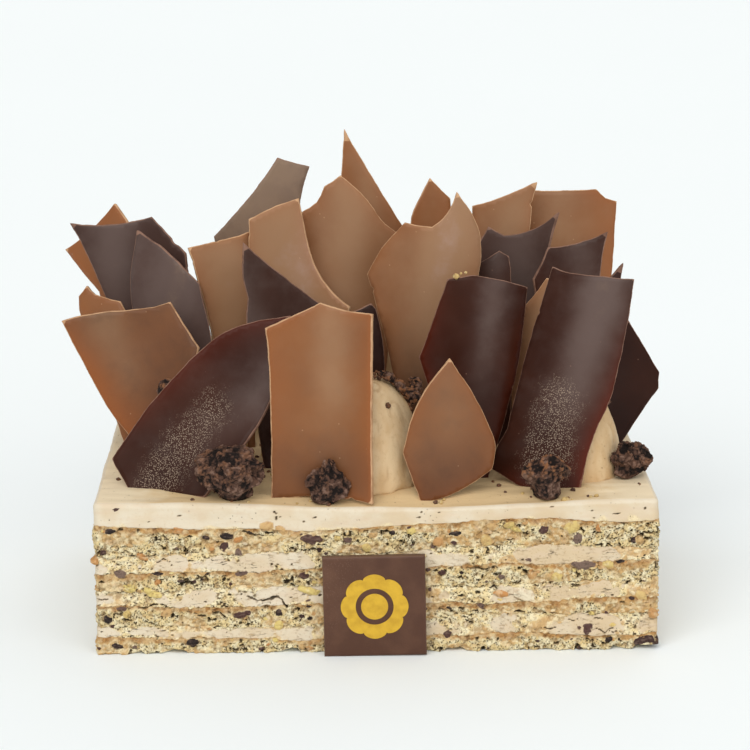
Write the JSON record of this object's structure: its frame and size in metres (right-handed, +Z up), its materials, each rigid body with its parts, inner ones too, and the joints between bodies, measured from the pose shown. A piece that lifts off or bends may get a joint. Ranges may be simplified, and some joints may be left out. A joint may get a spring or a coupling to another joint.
{
  "type": "peanut butter cake",
  "caption": "Oblong layered nut sponge and cream cake, topped with piped cream domes, upright broken sheets of milk and dark chocolate and cocoa crumb, with a chocolate plaque on its front.",
  "frame": {"origin": "middle of the flat underside of the bottom sponge, on the table", "axes": "+X to the right along the long side as seen from the front, +Y to the back, +Z up; the plaque is on the -Y side"},
  "size_m": [0.2243, 0.1367, 0.1669],
  "materials": {
    "sponge": "matte open crumb with nuts and dark chips",
    "cream": "soft satin beige cream",
    "milk_chocolate": "satin milk chocolate",
    "dark_chocolate": "satin dark chocolate",
    "cocoa_crumb": "matte torn cocoa crumb",
    "plaque": "satin brown with a printed gold motif"
  },
  "bodies": {
    "root": {"sponge_1": "sponge", "sponge_2": "sponge", "sponge_3": "sponge", "sponge_4": "sponge", "cream_1": "cream", "cream_2": "cream", "cream_3": "cream", "cream_top": "cream", "dome_1": "cream", "dome_2": "cream", "dome_3": "cream", "dome_4": "cream", "dome_5": "cream", "dome_6": "cream", "dome_7": "cream", "dome_8": "cream", "dome_9": "cream", "milk_panel": "milk_chocolate", "milk_leaf": "milk_chocolate", "milk_strip": "milk_chocolate", "milk_left": "milk_chocolate", "milk_tall": "milk_chocolate", "milk_back": "milk_chocolate", "milk_fold": "milk_chocolate", "milk_slab": "milk_chocolate", "milk_sliver": "milk_chocolate", "milk_far_left": "milk_chocolate", "milk_spike": "milk_chocolate", "milk_chip": "milk_chocolate", "milk_fan": "milk_chocolate", "milk_far_right": "milk_chocolate", "dark_sweep": "dark_chocolate", "dark_tall": "dark_chocolate", "dark_wall": "dark_chocolate", "dark_right": "dark_chocolate", "dark_behind": "dark_chocolate", "dark_triangle": "dark_chocolate", "grey_leaf": "dark_chocolate", "dark_left": "dark_chocolate", "dark_far": "dark_chocolate", "dark_ridge": "dark_chocolate", "dark_slip": "dark_chocolate", "dark_lip": "dark_chocolate", "dark_edge": "dark_chocolate", "crumb_1": "cocoa_crumb", "crumb_2": "cocoa_crumb", "crumb_3": "cocoa_crumb", "crumb_4": "cocoa_crumb", "crumb_5": "cocoa_crumb", "crumb_6": "cocoa_crumb", "crumb_7": "cocoa_crumb", "crumb_8": "cocoa_crumb", "plaque": "plaque"}
  },
  "joints": []
}
